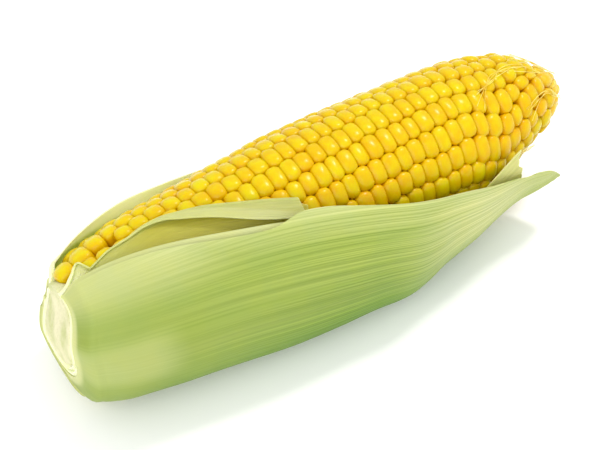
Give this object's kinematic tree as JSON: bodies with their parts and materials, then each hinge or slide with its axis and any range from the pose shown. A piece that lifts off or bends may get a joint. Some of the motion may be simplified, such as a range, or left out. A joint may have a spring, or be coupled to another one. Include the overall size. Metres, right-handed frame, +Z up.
{
  "type": "corn cob",
  "caption": "Ear of sweet corn lying on its husk, with the leaves pulled open to show rows of plump yellow kernels.",
  "frame": {"origin": "middle of the bounding box's underside, on the table", "axes": "+X along the ear from the cut butt to the tip, -Y the side that the belly of the husk faces, +Z up"},
  "size_m": [0.184, 0.066, 0.0555],
  "materials": {
    "cob": "matt pale cream plant tissue, fibrous where it is cut",
    "kernel": "smooth, moist, slightly translucent yellow skin",
    "husk_green": "satin pale-green leaf with fine lengthwise veins",
    "husk_pale": "satin cream-green leaf with fine lengthwise veins",
    "silk": "dry golden silk"
  },
  "bodies": {
    "root": {"cob_core": "cob", "kernel_row_01": "kernel", "kernel_row_02": "kernel", "kernel_row_03": "kernel", "kernel_row_04": "kernel", "kernel_row_05": "kernel", "kernel_row_06": "kernel", "kernel_row_07": "kernel", "kernel_row_08": "kernel", "kernel_row_09": "kernel", "kernel_row_10": "kernel", "kernel_row_11": "kernel", "kernel_row_12": "kernel", "kernel_row_13": "kernel", "kernel_row_14": "kernel", "kernel_row_15": "kernel", "kernel_row_16": "kernel", "kernel_row_17": "kernel", "kernel_row_18": "kernel", "kernel_row_19": "kernel", "kernel_row_20": "kernel", "husk_middle_front": "husk_green", "husk_outer_back": "husk_green", "husk_outer_front": "husk_green", "husk_outer_under": "husk_green", "husk_inner_back": "husk_pale", "husk_inner_front": "husk_pale", "husk_inner_under": "husk_pale", "silk_strand_1": "silk", "silk_strand_2": "silk", "silk_strand_3": "silk", "silk_strand_4": "silk"}
  },
  "joints": []
}
